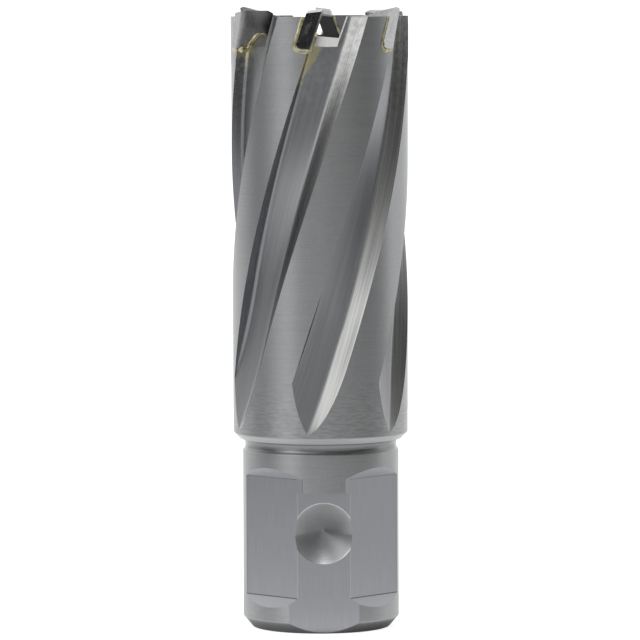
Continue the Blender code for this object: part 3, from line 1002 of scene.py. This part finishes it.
def brazeBead(tooth):
    # A tube along the foot of the rake face: out of the flute, up the ramp and in along the notch
    # floor. Its points are path + size * (cos(a) * normal + sin(a) * forwards).
    step = body["top"] - notch["stepDrop"]
    floor = body["top"] - notch["floorDrop"]
    ramp = bandRadius - flute["wallDepth"]
    path = roundedPath(np.array([
        (bandRadius - 0.12, tipBottom - 0.12, 0),
        (ramp + 0.05, tipBottom - 0.05, 0.35), (ramp, step, 0.3),
        (ramp - notch["rampWidth"], floor, 0.3), (body["boreRadius"] + 0.15, floor, 0),
    ]), 6)
    places = np.linspace(0, 1, bead["tubeRows"])
    line = alongPath(path, places)
    along = np.gradient(line, axis=0)
    normal = np.stack([-along[:, 1], along[:, 0]], axis=-1) / np.linalg.norm(along, axis=1)[:, None]
    size = bead["footSize"] + (bead["innerSize"] - bead["footSize"]) * places
    size = size * wavering(places, tooth, bead["tubeWaver"])
    size *= np.clip(np.sqrt(np.minimum(places, 1 - places) * 12), bead["endSize"], 1)
    turn = np.arange(bead["sides"])[None, :] * 2 * math.pi / bead["sides"]
    radius = line[:, :1] + size[:, None] * normal[:, :1] * np.cos(turn)
    height = line[:, 1:] + size[:, None] * normal[:, 1:] * np.cos(turn)
    behind = -bead["ahead"] - size[:, None] * np.sin(turn)
    return cappedPiece(f"brazeBead{tooth + 1}", platePoints(tooth, radius, height, behind))


def joined(first, second):
    # Adds the second piece's faces to the first piece.
    shape = bmesh.new()
    for piece in (first, second):
        shape.from_mesh(piece.data)
    shape.to_mesh(first.data)
    shape.free()
    bpy.data.objects.remove(second)
    return first


for tooth in teeth:
    for piece, material, slot, node in (
        (carbideTip(tooth), carbide, "carbide", f"carbide_tip_{tooth + 1}"),
        (joined(brazeJoint(tooth), brazeBead(tooth)), braze, "braze", f"braze_joint_{tooth + 1}"),
    ):
        piece.data.materials.append(material)
        smoothWithEdges(piece)
        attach(piece, "root")
        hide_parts(node)
print("tips and braze made")

studio = {
    "floorRadius": 0.3, "floorSides": 96, "floorColour": 0.62, "cameraGlow": 0.8, "lightSharpness": 12.0,
    "cardSharpness": 40.0,
    "opening": (-23, -6), "openingSharpness": 34.0, "openingDepth": 2.2,
    "glowRings": (9.3, 11.5, 20, 45, 100, 300),
}
softLights = {
    # Height over the horizon: where the first light stands, then the levels all the way round.
    -25: (0, (0.0, 0.0, 0.19, 0.29, 0.0, 0.07)),
    5: (0, (0.15, 0.26, 0.0, 0.14, 0.56, 0.68, 0.95, 0.67, 0.54, 0.0, 0.37, 0.9)),
    35: (18, (0.01, 0.08, 0.26, 0.7, 0.4, 0.45, 0.9, 0.05, 1.12, 0.28)),
    65: (0, (0.3, 0.15, 0.4, 0.4, 0.3)),
    90: (0, (0.95,)),
}
# Small cards: the way round, the height over the horizon and the level.
cards = ((104, -5, 0.9), (-52, 24, 0.78), (3, 76, 1.3))
floorGlow = {
    # The way out from the axis: levels at the distances given in glowRings.
    # The low levels at the first ring are a painted shadow of the object near its base in these
    # reflections.
    (0, -1): (0.05, 0.85, 0.45, 0.27, 0.3, 0.1),
    (1, 0): (0.02, 0.6, 0.5, 0.22, 0.1, 0.1),
    (0, 1): (0.15, 0.3, 0.3, 0.53, 0.8, 0.7),
    (-1, 0): (0.02, 0.6, 0.5, 0.35, 0.1, 0.1),
}


def floorReflection(tree):
    # The floor's glow for reflections: each side's ramp over the distance, in proportion to the
    # square of the cosine between the way out and that side.
    outwards = unitVector(objectPlace(tree))
    radius = cylinderCoordinates(tree)[1]
    low, high = math.log10(studio["glowRings"][0]), math.log10(studio["glowRings"][-1])
    place = remap(mathNode("LOGARITHM", radius, 10.0), low, high)
    total = 0.0
    for way, levels in floorGlow.items():
        ramp = addNode(tree, "ShaderNodeValToRGB")
        stops = ramp.color_ramp.elements
        while len(stops) < len(levels):
            stops.new(0.5)
        for stop, ring, level in zip(stops, studio["glowRings"], levels):
            stop.position = (math.log10(ring) - low) / (high - low)
            stop.color = (level, level, level, 1)
        tree.links.new(place, ramp.inputs[0])
        cosine = cosineTo(outwards, (*way, 0))
        share = mathNode("POWER", mathNode("MAXIMUM", cosine, 0.0), 2.0)
        total = plus(total, product(share, ramp.outputs["Color"]))
    return total


def makeFloor():
    # A pale disc: its rim is (cos t, sin t) times the radius.
    sides = studio["floorSides"]
    turn = np.arange(sides) * 2 * math.pi / sides
    rim = np.stack([np.cos(turn), np.sin(turn), turn * 0], axis=-1) * studio["floorRadius"] / mm
    floor = newPiece("floor", rim, [list(range(sides))])
    material, tree, shader = newMaterial("paleFloor", (studio["floorColour"],) * 3, 0.9, 0.0)
    shader.inputs["Specular IOR Level"].default_value = 0.0
    rays = tree.nodes.new("ShaderNodeLightPath")
    seen = product(rays.outputs["Is Camera Ray"], studio["cameraGlow"])
    mirrored = product(rays.outputs["Is Glossy Ray"], floorReflection(tree))
    shader.inputs["Emission Color"].default_value = (1, 1, 1, 1)
    tree.links.new(plus(seen, mirrored), shader.inputs["Emission Strength"])
    floor.data.materials.append(material)


def makeWorld():
    # Soft lights all round, the same for every view. Each adds level * exp(sharpness * (c - 1)),
    # where c is the cosine between the direction and the light's own.
    world = bpy.data.worlds.new("studio")
    scene.world = world
    world.use_nodes = True
    tree = world.node_tree
    background = tree.nodes["Background"]
    rays = tree.nodes.new("ShaderNodeLightPath")
    direction = tree.nodes.new("ShaderNodeTexCoord").outputs["Generated"]

    def bell(around, rise, sharpness):
        turn, lift = math.radians(around), math.radians(rise)
        out = math.cos(lift)
        way = (math.sin(turn) * out, -math.cos(turn) * out, math.sin(lift))
        less = minus(cosineTo(direction, way), 1.0)
        return mathNode("EXPONENT", product(less, sharpness))

    total = 0.0
    for rise, (start, levels) in softLights.items():
        for count, level in enumerate(levels):
            if level:
                light = bell(start + count * 360 / len(levels), rise, studio["lightSharpness"])
                total = mathNode("MULTIPLY_ADD", light, level, total)
    for around, rise, level in cards:
        card = bell(around, rise, studio["cardSharpness"])
        total = mathNode("MULTIPLY_ADD", card, level, total)
    # The camera stands in a dark opening.
    opening = bell(*studio["opening"], studio["openingSharpness"])
    opening = mathNode("MINIMUM", product(opening, studio["openingDepth"]), 1.0)
    total = product(total, minus(1.0, opening))
    seen = mathNode("MAXIMUM", total, rays.outputs["Is Camera Ray"])
    tree.links.new(seen, background.inputs["Strength"])
    background.inputs["Color"].default_value = (1, 1, 1, 1)


# Degrees for turn, pitch and roll, and millimetres for the others. The place and lens come from
# fitting the shank, neck and end circle to the picture.
view = {
    "turn": -2.3, "side": -0.042, "back": 613.5, "height": 81.25,
    "pitch": 4.079, "roll": -0.186, "lens": 283.06,
}


def makeCamera():
    camera = bpy.data.cameras.new("camera")
    camera.lens = view["lens"]
    camera.sensor_width = 36
    camera.clip_start, camera.clip_end = 0.01, 20
    pitch, roll, turn = (math.radians(view[key]) for key in ("pitch", "roll", "turn"))
    forward = Vector((0, math.cos(pitch), -math.sin(pitch)))
    right = Vector((1, 0, 0))
    up = Vector((0, math.sin(pitch), math.cos(pitch)))
    rolledRight = right * math.cos(roll) + up * math.sin(roll)
    rolledUp = up * math.cos(roll) - right * math.sin(roll)
    axes = Matrix((rolledRight, rolledUp, -forward)).transposed().to_4x4()
    place = Matrix.Translation(Vector((view["side"], -view["back"], view["height"])) * mm)
    scene.camera = inScene("camera", camera)
    scene.camera.matrix_world = Matrix.Rotation(turn, 4, "Z") @ place @ axes


makeFloor()
makeWorld()
makeCamera()
scene.view_settings.view_transform = "Standard"
print("studio made")

bpy.context.view_layer.update()
